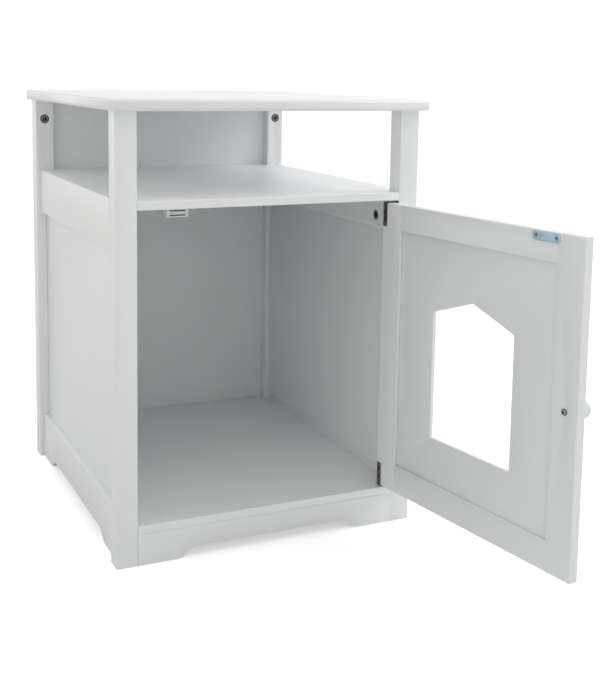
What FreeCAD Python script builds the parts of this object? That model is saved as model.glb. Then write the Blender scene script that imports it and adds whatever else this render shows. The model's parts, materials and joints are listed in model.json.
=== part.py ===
import FreeCAD, Part
import math
import os

# Cat litter box cabinet: a white side table with an open shelf bay above a closed room.
# The pieces are drawn about the middle of the cabinet's footprint and then moved, so that
# the origin is on the floor at the centre of the front left post's foot. +X is right, +Y is
# back and +Z is up. The door stands open at rest. All sizes are in millimetres.

# --- whole cabinet
post_span_w = 457.0          # outside of the left posts to outside of the right posts
post_span_d = 517.0          # front of the front posts to back of the rear posts
total_height = 638.0
post = 30.0                  # square posts
edge_ease = 0.8              # sanded edges of the painted boards
seat_gap = 0.2               # play of a board between its neighbours

# --- top panel
top_t = 16.0
top_overhang_side = 9.0
top_overhang_front = 13.0
top_edge_r = 5.0             # rounds of the edge on the front and the two sides

# --- boards, from the floor up
board_t = 12.0               # shelf and floor boards
floor_top_z = 56.0
shelf_top_z = 503.0
apron_t = 12.0

# --- side frames
rail_t = 14.0
rail_inset = 7.0             # outer face of the rails, in from the posts
rail_lip = 3.5               # strip of the top rail that hides the shelf's edge
top_rail_h = 72.0
bottom_rail_rise = 19.0      # bottom rail's top edge, above the floor board
panel_t = 5.0                # side panels, flush with the rails inside
panel_lap = 8.0              # panel behind each rail
post_groove = 6.0            # depth of the grooves in the posts

# --- scalloped lower edge of the apron and the bottom rails
foot_len = 55.0
ogee_len = 34.0
arch_rise = 14.5

# --- back
back_t = 6.0
back_inset = 6.0             # back panel, in from the posts' rear faces
back_rail_t = 14.0
back_rail_bottom_z = 14.5

# --- dowels
dowel_d = 6.0
dowel_len = 30.0
dowel_play = 0.05
dowel_end_room = 1.0         # air past each end of a dowel
low_dowel_z = 12.0           # lowest dowel of the apron and of the bottom rails
apron_dowel_drop = 12.0      # upper dowel of the apron, below its top edge
bottom_rail_dowel_drop = 15.0
top_rail_dowel_rises = (14.0, 46.0)
back_rail_dowel_margins = (9.5, 8.0)
peg_sides = 8                # flats round hidden pegs, bolts and their bores

# --- cam fittings
cam_d = 15.0
cam_play = 0.1
cam_depth = 10.5
cam_axis_depth = 5.5         # bolt's axis, in from the face that holds the cam
cam_reach = 32.0             # cam's centre to the joint that it pulls shut
cam_sides = 12               # flats round the cam's drum
cam_bolt_thread = 9.0
cam_bolt_thread_d = 5.0
cam_bolt_shank_d = 4.0
cam_bolt_head_d = 6.4
cam_bolt_head_len = 4.6
cam_bolt_room = 0.3          # air round the bolt in the wood and in the cam
cam_pair_y = 85.0            # cams of the shelf and floor, in from the posts' outer faces
cam_slot_w = 1.6             # cross recess in the cam's face
cam_slot_len = 7.0
cam_slot_depth = 1.4

# --- door
door_t = 14.0
door_gap_hinge = 3.5
door_gap_free = 2.5
door_gap_top = 3.5
door_gap_bottom = 2.5
door_edge_ease = 1.5
stile_w = 42.0
door_top_rail_h = 37.0
door_bottom_rail_h = 40.0
door_panel_t = 6.0
door_groove = 8.0
door_panel_play = 0.5        # air round the panel's edge in its groove
door_panel_side_play = 0.3   # shadow gap between the panel's faces and its groove
door_top_dowel_drops = (14.0, 24.5)
door_bottom_dowel_rises = (10.0, 25.0)
open_angle = 98.0            # how far the door stands open at rest

# --- house-shaped cat opening
house_w = 159.0
house_wall_h = 181.5
house_roof_h = 26.5
house_sill_rise = 65.0       # sill of the opening, above the door's bottom rail
house_corner_r = 1.5
house_rim_ease = 0.6

# --- pivot hinges
pin_d = 3.0
pin_play = 0.05              # running fit of the leaf on the pin
rivet_play = 0.02            # fit of the pin in the arm
pin_len = 12.0
pin_from_edge = 7.5          # pin's axis, in from the door's hinge edge
pin_room = 0.5               # free bore round the pin in the stile
arm_t = 0.9                  # fixed L plate
arm_w = 11.0
arm_h = 26.0
arm_past_pin = 5.5
leaf_t = 1.0                 # L plate on the door
leaf_inset_t = 1.2           # thickness of its upright, let in flush
leaf_from_edge = 1.0         # leaf's side, in from the door's hinge edge
leaf_w = 9.5
leaf_h = 35.5
leaf_foot_margin = 2.0       # foot stops this far short of the door's outer face
fit_gap = 0.1                # play of the leaf in its recess

# --- screws
hinge_screw_d = 3.0
hinge_screw_head_d = 5.6
hinge_screw_len = 12.0
screw_play = 0.05
screw_sides = 12             # flats round a screw and its bore
screw_slot_w = 0.7
screw_slot_depth = 0.8
bore_room = 0.3              # air past a screw's tip
leaf_screw_shorter = 1.5     # leaf screws, against the arm screws
arm_screw_heights = (9.0, 20.0)
leaf_screw_heights = (13.0, 25.5)

# --- magnetic catch under the shelf and its strike plate on the door
catch_from_post = 61.3       # centre of the catch, from the left post
catch_w = 31.5
catch_ear_w = 47.0
catch_ear_t = 2.2
catch_ear_d = 12.0
catch_ear_corner = 1.5
catch_ease = 0.8
catch_h = 13.0
catch_d = 15.0
catch_air = 0.3              # air between the poles and the strike when shut
pole_w = 22.0
pole_t = 1.2
pole_d = 12.5
pole_proud = 0.6
pole_pitch = 6.2
pole_drop = 7.0              # middle of the poles, below the shelf
magnet_w = 21.0
catch_bridge_t = 1.5         # bar of the housing in front of the magnet
catch_screw_d = 3.0
catch_screw_head_d = 5.0
catch_screw_head_h = 1.8
catch_screw_len = 10.0
strike_w = 46.0
strike_h = 12.4
strike_t = 1.0
strike_corner = 5.0          # rounded ends of the plate
strike_top_margin = 0.6      # below the door's top edge
strike_shift = 4.2           # strike's centre, right of the catch's centre
strike_screw_pitch = 34.0

# --- knob
knob_d = 26.0
knob_len = 24.0
knob_drop = 2.5              # below the middle of the door's height
knob_neck_d = 12.5
knob_foot_d = 16.0
knob_foot_h = 2.5
knob_sides = 28              # flats round the knob
knob_screw_d = 4.0
knob_screw_head_d = 9.0
knob_screw_head_h = 2.4
knob_screw_bite = 11.0

# --- places worked out from the sizes above
V = FreeCAD.Vector
half_w = post_span_w / 2
half_d = post_span_d / 2
post_h = total_height - top_t
shelf_bottom_z = shelf_top_z - board_t
floor_bottom_z = floor_top_z - board_t
rail_inner = rail_inset + rail_t
rail_mid = rail_inset + rail_t / 2
panel_outer = rail_inner - panel_t
top_rail_bottom_z = shelf_top_z - top_rail_h
bottom_rail_top_z = floor_top_z + bottom_rail_rise
back_front = back_inset + back_t
back_rail_front = back_inset + back_rail_t
side_len = post_span_d - 2 * post
front_len = post_span_w - 2 * post

door_w = front_len - door_gap_hinge - door_gap_free
door_bottom_z = floor_top_z + door_gap_bottom
door_top_z = shelf_bottom_z - door_gap_top
hinge_x = half_w - post - door_gap_hinge
front_y = -half_d
door_inner_y = front_y + door_t
door_mid_y = front_y + door_t / 2
pin_x = hinge_x - pin_from_edge
groove_half = door_panel_t / 2 + door_panel_side_play
house_sill_z = door_bottom_z + door_bottom_rail_h + house_sill_rise
knob_z = (door_bottom_z + door_top_z) / 2 - knob_drop
catch_x = -half_w + post + catch_from_post


def block(x, y, z):
    """Box between three pairs of limits."""
    size = (x[1] - x[0], y[1] - y[0], z[1] - z[0])
    return Part.makeBox(*size, V(x[0], y[0], z[0]))


def rod(diameter, start, direction, length):
    """Cylinder from a point along a direction."""
    return Part.makeCylinder(diameter / 2, length, V(*start), V(*direction))


def prism(points, direction):
    """Straight-sided solid on a flat outline."""
    wire = Part.makePolygon([V(*p) for p in points] + [V(*points[0])])
    return Part.Face(wire).extrude(V(*direction))


def edges_where(shape, wanted):
    """Edges whose middle point and direction pass the test."""
    edges = []
    for edge in shape.Edges:
        middle = edge.valueAt((edge.FirstParameter + edge.LastParameter) / 2)
        along = edge.Vertexes[-1].Point - edge.Vertexes[0].Point
        if along.Length > 0.1 and wanted(middle, along.normalize()):
            edges.append(edge)
    return edges


def rounded(shape, radius, wanted):
    return shape.makeFillet(radius, edges_where(shape, wanted))


def sanded(shape, width, wanted):
    """Break the edges that pass the test with a narrow flat."""
    return shape.makeChamfer(width, edges_where(shape, wanted))


def turned(profile, start, direction, sides=screw_sides):
    """Small lathe-turned solid, drawn with flats: profile lists (distance along the axis,
    radius) and starts and ends on the axis."""
    rings = []
    for s, r in profile:
        angles = [2 * math.pi * k / sides for k in range(sides)]
        rings.append([V(r * math.cos(a), r * math.sin(a), s) for a in angles])
    faces = []
    for ring, following, (s, r), (next_s, next_r) in zip(rings, rings[1:], profile, profile[1:]):
        for k in range(sides):
            after = (k + 1) % sides
            corners = [ring[k]] if r == 0 else [ring[k], ring[after]]
            corners += [following[k]] if next_r == 0 else [following[after], following[k]]
            faces.append(Part.Face(Part.makePolygon(corners + [corners[0]])))
    solid = Part.makeSolid(Part.makeShell(faces)).removeSplitter()
    if solid.Volume < 0:
        solid.reverse()
    solid.Placement = FreeCAD.Placement(V(*start), FreeCAD.Rotation(V(0, 0, 1), V(*direction)))
    return solid


def peg(diameter, start, direction, length, sides=peg_sides):
    """Hidden peg or its bore, drawn with flats."""
    radius = diameter / 2
    return turned([(0, 0), (0, radius), (length, radius), (length, 0)], start, direction, sides)


def corner(shape, right, rear):
    """Move a shape drawn from an outer corner of the front left post to another corner."""
    moved = shape.copy()
    moved.translate(V(-half_w, -half_d, 0))
    if right:
        moved = moved.mirror(V(0, 0, 0), V(1, 0, 0))
    if rear:
        moved = moved.mirror(V(0, 0, 0), V(0, 1, 0))
    return moved


def all_corners(shapes):
    """The same solids at the four corners."""
    return [corner(s, right, rear) for s in shapes for right in (0, 1) for rear in (0, 1)]


# --- dowels: each entry is the point where a dowel crosses its joint, and its direction

side_dowel_zs = {
    "bottom": (low_dowel_z, bottom_rail_top_z - bottom_rail_dowel_drop),
    "top": [top_rail_bottom_z + rise for rise in top_rail_dowel_rises],
}
apron_dowel_zs = (low_dowel_z, floor_bottom_z - apron_dowel_drop)
back_rail_dowel_zs = (
    back_rail_bottom_z + back_rail_dowel_margins[0],
    floor_bottom_z - back_rail_dowel_margins[1],
)


def dowel_at(point, direction):
    start = V(*point) - V(*direction) * (dowel_len / 2)
    return peg(dowel_d, start, direction, dowel_len)


def dowel_bore(point, direction):
    reach = dowel_len / 2 + dowel_end_room
    start = V(*point) - V(*direction) * reach
    return peg(dowel_d + 2 * dowel_play, start, direction, 2 * reach)


def side_joints(level):
    """Dowels between a post and a side rail, seen from the post's outer corner."""
    return [((rail_mid, post, z), (0, 1, 0)) for z in side_dowel_zs[level]]


def apron_joints():
    return [((post, apron_t / 2, z), (1, 0, 0)) for z in apron_dowel_zs]


def back_rail_joints():
    middle = back_inset + back_rail_t / 2
    return [((post, middle, z), (1, 0, 0)) for z in back_rail_dowel_zs]


def frame_dowels():
    sides = [dowel_at(*j) for level in side_dowel_zs for j in side_joints(level)]
    solids = all_corners(sides)
    for right in (0, 1):
        solids += [corner(dowel_at(*j), right, 0) for j in apron_joints()]
        solids += [corner(dowel_at(*j), right, 1) for j in back_rail_joints()]
    return Part.makeCompound(solids)


# --- cam fittings: a seat is the cam's centre on its face, the way out of the face
# and the way along the bolt to the joint

def top_seat():
    return (post / 2, post, post_h - cam_reach), (0, 1, 0), (0, 0, 1)


def shelf_seat():
    return (rail_inner, cam_pair_y, shelf_bottom_z - cam_reach), (1, 0, 0), (0, 0, 1)


def floor_seat():
    return (rail_inner + cam_reach, cam_pair_y, floor_bottom_z), (0, 0, -1), (-1, 0, 0)


def seat_place(seat):
    """Placement that turns local +Z out of the face and local +X along the bolt."""
    centre, out, along = (V(*v) for v in seat)
    across = out.cross(along)
    matrix = FreeCAD.Matrix(
        along.x, across.x, out.x, centre.x,
        along.y, across.y, out.y, centre.y,
        along.z, across.z, out.z, centre.z,
    )
    return FreeCAD.Placement(matrix)


def cam_lock():
    """Die-cast cam: a drum with a cross recess and a pocket for the bolt's head."""
    drum = peg(cam_d - 2 * cam_play, (0, 0, -cam_depth), (0, 0, 1), cam_depth, cam_sides)
    half_room = cam_bolt_head_d / 2 + cam_bolt_room
    middle = -cam_axis_depth
    room_z = (middle - half_room, middle + half_room)
    pocket = block((-half_room, cam_d), (-half_room, half_room), room_z)
    reach = cam_slot_len / 2
    side = cam_slot_w / 2
    recess = block((-reach, reach), (-side, side), (-cam_slot_depth, 0))
    crossing = block((-side, side), (-reach, reach), (-cam_slot_depth, 0))
    return drum.cut([pocket, recess, crossing])


def cam_bolt():
    """Steel bolt: head in the cam, shank, and a thread in the other board."""
    head = cam_bolt_head_d / 2
    head_end = cam_bolt_head_len / 2
    shank = cam_bolt_shank_d / 2
    thread = cam_bolt_thread_d / 2
    tip = cam_reach + cam_bolt_thread
    profile = [
        (-head_end, 0), (-head_end, head), (head_end, head), (head_end, shank),
        (cam_reach, shank), (cam_reach, thread), (tip, thread), (tip, 0),
    ]
    return turned(profile, (0, 0, -cam_axis_depth), (1, 0, 0), peg_sides)


def cam_bores(seat):
    """What a seat takes out of the wood: the cam's bore, the bolt's bore and its thread."""
    axis_start = (0, 0, -cam_axis_depth)
    drum = peg(cam_d, (0, 0, -cam_depth - cam_play), (0, 0, 1), cam_depth + cam_play, cam_sides)
    shank = peg(cam_bolt_head_d + 2 * cam_bolt_room, axis_start, (1, 0, 0), cam_reach)
    thread_len = cam_reach + cam_bolt_thread + cam_bolt_room
    thread = peg(cam_bolt_thread_d + 2 * screw_play, axis_start, (1, 0, 0), thread_len)
    bores = drum.fuse([shank, thread])
    bores.Placement = seat_place(seat)
    return bores


def cam_parts(make):
    solids = []
    for seat in (top_seat(), shelf_seat(), floor_seat()):
        solid = make()
        solid.Placement = seat_place(seat).multiply(solid.Placement)
        solids.append(solid)
    return Part.makeCompound(all_corners(solids))


# --- posts, rails and boards

def corner_post(rear):
    """Square post, drawn at the front left; a rear post is mirrored to the back."""
    solid = block((0, post), (0, post), (0, post_h))
    solid = sanded(solid, edge_ease, lambda m, a: abs(a.z) > 0.9)
    groove_z = (bottom_rail_top_z - panel_lap, top_rail_bottom_z + panel_lap)
    groove_x = (panel_outer - fit_gap, rail_inner + fit_gap)
    cuts = [block(groove_x, (post - post_groove, post), groove_z)]
    for level in side_dowel_zs:
        cuts += [dowel_bore(*j) for j in side_joints(level)]
    cuts.append(cam_bores(top_seat()))
    if rear:
        cuts += [dowel_bore(*j) for j in back_rail_joints()]
        back_y = (back_inset - fit_gap, back_front + fit_gap)
        cuts.append(block((post - post_groove, post), back_y, (floor_bottom_z, post_h)))
    else:
        cuts += [dowel_bore(*j) for j in apron_joints()]
    return solid.cut(cuts)


def arch_wire(length, height, plane):
    """Outline of a board of a given length with an arch between two feet.
    plane turns (distance along the board, height) into a point."""
    half = length / 2
    inner = foot_len + ogee_len
    # two equal arcs that meet upright at the ogee's middle, level at both ends
    slope = 2 * math.atan2(arch_rise, ogee_len)
    radius = ogee_len / (2 * math.sin(slope))

    def ogee(mirrored):
        side = -1 if mirrored else 1

        def at(s, z):
            return plane(half + side * (s - half), z)

        mid = slope / 2
        low = [
            at(foot_len, 0),
            at(foot_len + radius * math.sin(mid), radius * (1 - math.cos(mid))),
            at(foot_len + ogee_len / 2, arch_rise / 2),
        ]
        high = [
            at(foot_len + ogee_len / 2, arch_rise / 2),
            at(inner - radius * math.sin(mid), arch_rise - radius * (1 - math.cos(mid))),
            at(inner, arch_rise),
        ]
        return [Part.Arc(*low).toShape(), Part.Arc(*high).toShape()]

    def line(a, b):
        return Part.makeLine(plane(*a), plane(*b))

    edges = [line((0, 0), (foot_len, 0))] + ogee(False)
    edges.append(line((inner, arch_rise), (length - inner, arch_rise)))
    edges += ogee(True)
    edges.append(line((length - foot_len, 0), (length, 0)))
    edges.append(line((length, 0), (length, height)))
    edges.append(line((length, height), (0, height)))
    edges.append(line((0, height), (0, 0)))
    return Part.Wire(Part.__sortEdges__(edges))


def front_apron():
    """Scalloped board between the front posts, under the floor board."""
    wire = arch_wire(front_len, floor_bottom_z, lambda s, z: V(s - front_len / 2, front_y, z))
    solid = Part.Face(wire).extrude(V(0, apron_t, 0))
    bores = [corner(dowel_bore(*j), right, 0) for j in apron_joints() for right in (0, 1)]
    return solid.cut(bores)


def back_bottom_rail():
    """Plain rail between the rear posts that carries the floor board and the back panel."""
    solid = block(
        (-front_len / 2, front_len / 2),
        (half_d - back_rail_front, half_d - back_inset),
        (back_rail_bottom_z, floor_bottom_z),
    )
    bores = [corner(dowel_bore(*j), right, 1) for j in back_rail_joints() for right in (0, 1)]
    return solid.cut(bores)


def side_rail_bores(level, seat):
    cuts = []
    for rear in (0, 1):
        cuts += [corner(dowel_bore(*j), 0, rear) for j in side_joints(level)]
        cuts.append(corner(cam_bores(seat), 0, rear))
    return cuts


def top_rail():
    """Left top rail: rebated for the shelf above and for the panel below."""
    x = (-half_w + rail_inset, -half_w + rail_inner)
    y = (-side_len / 2, side_len / 2)
    solid = block(x, y, (top_rail_bottom_z, shelf_top_z))
    outer = x[0]
    solid = sanded(solid, edge_ease, lambda m, a: abs(a.y) > 0.9 and abs(m.x - outer) < 0.01)
    ledge = block((x[0] + rail_lip, x[1]), y, (shelf_bottom_z, shelf_top_z))
    rebate = block((x[1] - panel_t, x[1]), y, (top_rail_bottom_z, top_rail_bottom_z + panel_lap))
    return solid.cut([ledge, rebate] + side_rail_bores("top", shelf_seat()))


def bottom_rail():
    """Left bottom rail: scalloped below and rebated for the panel above."""
    wire = arch_wire(side_len, bottom_rail_top_z,
                     lambda s, z: V(-half_w + rail_inset, s - side_len / 2, z))
    solid = Part.Face(wire).extrude(V(rail_t, 0, 0))
    outer = -half_w + rail_inset
    top = bottom_rail_top_z
    solid = sanded(solid, edge_ease,
                   lambda m, a: abs(a.y) > 0.9 and abs(m.x - outer) < 0.01 and abs(m.z - top) < 0.01)
    x = (-half_w + panel_outer, -half_w + rail_inner)
    rebate = block(x, (-side_len / 2, side_len / 2), (top - panel_lap, top))
    return solid.cut([rebate] + side_rail_bores("bottom", floor_seat()))


def side_panel():
    """Left side panel, held in grooves of the posts and rebates of the rails."""
    reach = side_len / 2 + post_groove - seat_gap
    return block(
        (-half_w + panel_outer, -half_w + rail_inner),
        (-reach, reach),
        (bottom_rail_top_z - panel_lap + seat_gap, top_rail_bottom_z + panel_lap - seat_gap),
    )


def board(side_x, bottom_z, seat, seat_cuts):
    """Shelf or floor board: notched round the posts and flush with them in front."""
    inner_x = half_w - post - seat_gap
    front_notch = -half_d + post + seat_gap
    rear_notch = half_d - post - seat_gap
    rear = half_d - back_front - seat_gap
    outline = [
        (-inner_x, front_y), (inner_x, front_y), (inner_x, front_notch), (side_x, front_notch),
        (side_x, rear_notch), (inner_x, rear_notch), (inner_x, rear), (-inner_x, rear),
        (-inner_x, rear_notch), (-side_x, rear_notch), (-side_x, front_notch), (-inner_x, front_notch),
    ]
    solid = prism([(x, y, bottom_z) for x, y in outline], (0, 0, board_t))
    solid = sanded(solid, edge_ease, lambda m, a: abs(a.x) > 0.9 and abs(m.y - front_y) < 0.01)
    return solid.cut(all_corners([cam_bores(seat)]) + seat_cuts)


def shelf_board():
    side_x = half_w - rail_inset - rail_lip - seat_gap
    return board(side_x, shelf_bottom_z, shelf_seat(), catch_screw_bores())


def floor_board():
    return board(half_w - rail_inner - seat_gap, floor_bottom_z, floor_seat(), [])


def back_panel():
    """Thin panel in the rear posts' grooves, standing on the back rail."""
    reach = front_len / 2 + post_groove - seat_gap
    return block(
        (-reach, reach),
        (half_d - back_front, half_d - back_inset),
        (floor_bottom_z + seat_gap, post_h - seat_gap),
    )


def top_panel():
    """Top with rounded edges on the front and the two sides, square at the back."""
    x = (-half_w - top_overhang_side, half_w + top_overhang_side)
    y = (-half_d - top_overhang_front, half_d)
    solid = block(x, y, (post_h, total_height))
    solid = rounded(solid, top_edge_r, lambda m, a: abs(a.z) < 0.1 and m.y < half_d - 0.01)
    return solid.cut(all_corners([cam_bores(top_seat())]))


# --- door, drawn shut and then turned open about its pins

def swung(shape):
    moved = shape.copy()
    moved.rotate(V(pin_x, door_mid_y, 0), V(0, 0, 1), open_angle)
    return moved


def across(u):
    """X of a point on the shut door, a distance u from its hinge edge."""
    return hinge_x - u


def door_joints():
    """Dowels between the stiles and the rails of the door."""
    zs = [door_top_z - drop for drop in door_top_dowel_drops]
    zs += [door_bottom_z + rise for rise in door_bottom_dowel_rises]
    us = (stile_w, door_w - stile_w)
    return [((across(u), door_mid_y, z), (1, 0, 0)) for u in us for z in zs]


def door_bores():
    return [dowel_bore(*j) for j in door_joints()]


def door_dowels():
    return Part.makeCompound([swung(dowel_at(*j)) for j in door_joints()])


def stile(outer_u, inner_u):
    """Upright of the door's frame, grooved for the panel along its inner edge."""
    low, high = sorted((across(outer_u), across(inner_u)))
    solid = block((low, high), (front_y, door_inner_y), (door_bottom_z, door_top_z))
    outer_x = across(outer_u)
    solid = rounded(solid, door_edge_ease, lambda m, a: abs(a.z) > 0.9 and abs(m.x - outer_x) < 0.01)
    groove_side = across(inner_u)
    toward = 1 if groove_side < across(outer_u) else -1
    groove_x = sorted((groove_side, groove_side + toward * door_groove))
    groove_z = (
        door_bottom_z + door_bottom_rail_h - door_groove,
        door_top_z - door_top_rail_h + door_groove,
    )
    groove = block(groove_x, (door_mid_y - groove_half, door_mid_y + groove_half), groove_z)
    return solid.cut([groove] + door_bores())


def door_hinge_stile():
    solid = stile(0, stile_w)
    return swung(solid.cut(leaf_cuts()))


def door_free_stile():
    solid = stile(door_w, door_w - stile_w)
    bore = peg(knob_screw_d + 2 * screw_play, (knob_x(), front_y, knob_z), (0, 1, 0), door_t, screw_sides)
    return swung(solid.cut([bore] + strike_screw_bores()))


def door_rail(low, high, groove_from):
    """Cross piece of the door's frame, grooved for the panel along one edge."""
    x = (across(door_w - stile_w), across(stile_w))
    solid = block(x, (front_y, door_inner_y), (low, high))
    groove = block(x, (door_mid_y - groove_half, door_mid_y + groove_half),
                   (groove_from, groove_from + door_groove))
    return solid.cut([groove] + door_bores())


def door_top_rail():
    low = door_top_z - door_top_rail_h
    return swung(door_rail(low, door_top_z, low).cut(strike_screw_bores()))


def door_bottom_rail():
    high = door_bottom_z + door_bottom_rail_h
    return swung(door_rail(door_bottom_z, high, high - door_groove))


def house_cutter(thickness):
    """Prism of the house-shaped opening with lightly rounded corners."""
    middle = across(door_w / 2)
    half = house_w / 2
    outline = [
        (-half, 0), (half, 0), (half, house_wall_h),
        (0, house_wall_h + house_roof_h), (-half, house_wall_h),
    ]
    start_y = door_mid_y - thickness
    solid = prism([(middle + x, start_y, house_sill_z + z) for x, z in outline], (0, 2 * thickness, 0))
    return rounded(solid, house_corner_r, lambda m, a: abs(a.y) > 0.9)


def door_panel():
    """Panel in the door's grooves with the cat opening cut through it."""
    reach = door_groove - door_panel_play
    x = (across(door_w - stile_w + reach), across(stile_w - reach))
    z = (
        door_bottom_z + door_bottom_rail_h - reach,
        door_top_z - door_top_rail_h + reach,
    )
    y = (door_mid_y - door_panel_t / 2, door_mid_y + door_panel_t / 2)
    solid = block(x, y, z).cut(house_cutter(door_panel_t))
    margin = stile_w

    def on_rim(m, a):
        return abs(a.y) < 0.1 and x[0] + margin < m.x < x[1] - margin and z[0] + 5 < m.z < z[1] - 5

    return swung(sanded(solid, house_rim_ease, on_rim))


# --- pivot hinges

def countersunk_screw(point, direction, length):
    """Screw with its flat head flush at point, driven along direction."""
    head_h = (hinge_screw_head_d - hinge_screw_d) / 2
    shank = hinge_screw_d / 2
    profile = [
        (0, 0), (0, hinge_screw_head_d / 2), (head_h, shank),
        (length - 2 * shank, shank), (length, 0),
    ]
    solid = turned(profile, point, direction)
    return solid.cut(cross_recess(point, direction, hinge_screw_head_d * 0.5))


def cross_recess(point, direction, size):
    """Cross-shaped driver recess at the middle of a screw's head."""
    half = size / 2
    slot = screw_slot_w / 2
    level = block((-half, half), (-slot, slot), (0, screw_slot_depth))
    upright = block((-slot, slot), (-half, half), (0, screw_slot_depth))
    cross = level.fuse(upright)
    cross.Placement = FreeCAD.Placement(V(*point), FreeCAD.Rotation(V(0, 0, 1), V(*direction)))
    return cross


def countersunk_bore(point, direction, length):
    head_h = (hinge_screw_head_d - hinge_screw_d) / 2
    radius = hinge_screw_d / 2 + screw_play
    head = hinge_screw_head_d / 2 + screw_play
    profile = [(0, 0), (0, head), (head_h, radius), (length, radius), (length, 0)]
    return turned(profile, point, direction)


def arm_screw_seats(upper):
    """Screws through the upright of a fixed arm into the right front post."""
    face = half_w - post - arm_t
    if upper:
        return [((face, door_mid_y, shelf_bottom_z - h), (1, 0, 0)) for h in arm_screw_heights]
    return [((face, door_mid_y, floor_top_z + h), (1, 0, 0)) for h in arm_screw_heights]


def leaf_screw_seats(upper):
    """Screws through the upright of a door leaf into the hinge stile."""
    x = across(leaf_from_edge + leaf_w / 2)
    if upper:
        return [((x, door_inner_y, door_top_z - h), (0, -1, 0)) for h in leaf_screw_heights]
    return [((x, door_inner_y, door_bottom_z + h), (0, -1, 0)) for h in leaf_screw_heights]


def hinge_arm(upper):
    """Fixed L plate: foot on the board with the pin, upright on the post."""
    wall = half_w - post
    y = (door_mid_y - arm_w / 2, door_mid_y + arm_w / 2)
    foot_x = (pin_x - arm_past_pin, wall)
    if upper:
        foot = block(foot_x, y, (shelf_bottom_z - arm_t, shelf_bottom_z))
        upright = block((wall - arm_t, wall), y, (shelf_bottom_z - arm_h, shelf_bottom_z))
        corner_z = shelf_bottom_z
    else:
        foot = block(foot_x, y, (floor_top_z, floor_top_z + arm_t))
        upright = block((wall - arm_t, wall), y, (floor_top_z, floor_top_z + arm_h))
        corner_z = floor_top_z
    plate = foot.fuse(upright).removeSplitter()

    def on_bend(m, a):
        return abs(a.y) > 0.9 and abs(m.x - wall) < 0.01 and abs(m.z - corner_z) < 0.01

    plate = rounded(plate, arm_t * 0.9, on_bend)
    hole = rod(pin_d + 2 * rivet_play, (pin_x, door_mid_y, corner_z - arm_h), (0, 0, 1), 2 * arm_h)
    cuts = [countersunk_bore(p, d, hinge_screw_len) for p, d in arm_screw_seats(upper)]
    return plate.cut([hole] + cuts)


def hinge_pin(upper):
    """Pin riveted in the arm that reaches into the door's stile."""
    start = shelf_bottom_z if upper else floor_top_z
    direction = (0, 0, -1) if upper else (0, 0, 1)
    return rod(pin_d, (pin_x, door_mid_y, start), direction, pin_len)


def leaf_limits(upper):
    """Z limits of a door leaf's foot and upright."""
    if upper:
        return (door_top_z, door_top_z + leaf_t), (door_top_z - leaf_h + leaf_t, door_top_z + leaf_t)
    return (door_bottom_z - leaf_t, door_bottom_z), (door_bottom_z - leaf_t, door_bottom_z + leaf_h - leaf_t)


def door_leaf(upper):
    """L plate on the door: foot over its end with the pin's hole, upright let in."""
    foot_z, upright_z = leaf_limits(upper)
    x = (across(leaf_from_edge + leaf_w), across(leaf_from_edge))
    foot = block(x, (front_y + leaf_foot_margin, door_inner_y), foot_z)
    upright = block(x, (door_inner_y - leaf_inset_t, door_inner_y), upright_z)
    plate = foot.fuse(upright).removeSplitter()
    bend_z = foot_z[1] if upper else foot_z[0]

    def on_bend(m, a):
        return abs(a.x) > 0.9 and abs(m.y - door_inner_y) < 0.01 and abs(m.z - bend_z) < 0.01

    plate = rounded(plate, leaf_t * 0.9, on_bend)
    hole = rod(pin_d + 2 * pin_play, (pin_x, door_mid_y, foot_z[0] - 1), (0, 0, 1), leaf_t + 2)
    cuts = [countersunk_bore(p, d, hinge_screw_len) for p, d in leaf_screw_seats(upper)]
    return swung(plate.cut([hole] + cuts))


def leaf_cuts():
    """Recesses, pin bores and screw bores in the hinge stile."""
    cuts = []
    for upper in (False, True):
        upright_z = leaf_limits(upper)[1]
        x = (across(leaf_from_edge + leaf_w) - fit_gap, across(leaf_from_edge) + fit_gap)
        z = (upright_z[0] - fit_gap, upright_z[1] + fit_gap)
        cuts.append(block(x, (door_inner_y - leaf_inset_t, door_inner_y), z))
        start = door_top_z - pin_len if upper else door_bottom_z
        cuts.append(rod(pin_d + 2 * pin_room, (pin_x, door_mid_y, start), (0, 0, 1), pin_len))
        cuts += [countersunk_bore(p, d, hinge_screw_len + bore_room) for p, d in leaf_screw_seats(upper)]
    return cuts


def arm_screws():
    seats = arm_screw_seats(False) + arm_screw_seats(True)
    return Part.makeCompound([countersunk_screw(p, d, hinge_screw_len) for p, d in seats])


def arm_screw_bores():
    seats = arm_screw_seats(False) + arm_screw_seats(True)
    return [countersunk_bore(p, d, hinge_screw_len + bore_room) for p, d in seats]


def leaf_screws():
    seats = leaf_screw_seats(False) + leaf_screw_seats(True)
    short = hinge_screw_len - leaf_screw_shorter
    return Part.makeCompound([swung(countersunk_screw(p, d, short)) for p, d in seats])


# --- magnetic catch

catch_front_y = door_inner_y + strike_t + catch_air + pole_proud
pole_mid_z = shelf_bottom_z - pole_drop


def catch_screw_places():
    offset = (catch_w + catch_ear_w) / 4
    y = catch_front_y + catch_ear_d / 2
    return [(catch_x + side * offset, y, shelf_bottom_z - catch_ear_t) for side in (-1, 1)]


def catch_screw_bores():
    length = catch_screw_len - catch_ear_t + bore_room
    bore_d = catch_screw_d + 2 * screw_play
    places = catch_screw_places()
    return [peg(bore_d, (x, y, shelf_bottom_z), (0, 0, 1), length, screw_sides) for x, y, z in places]


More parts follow.
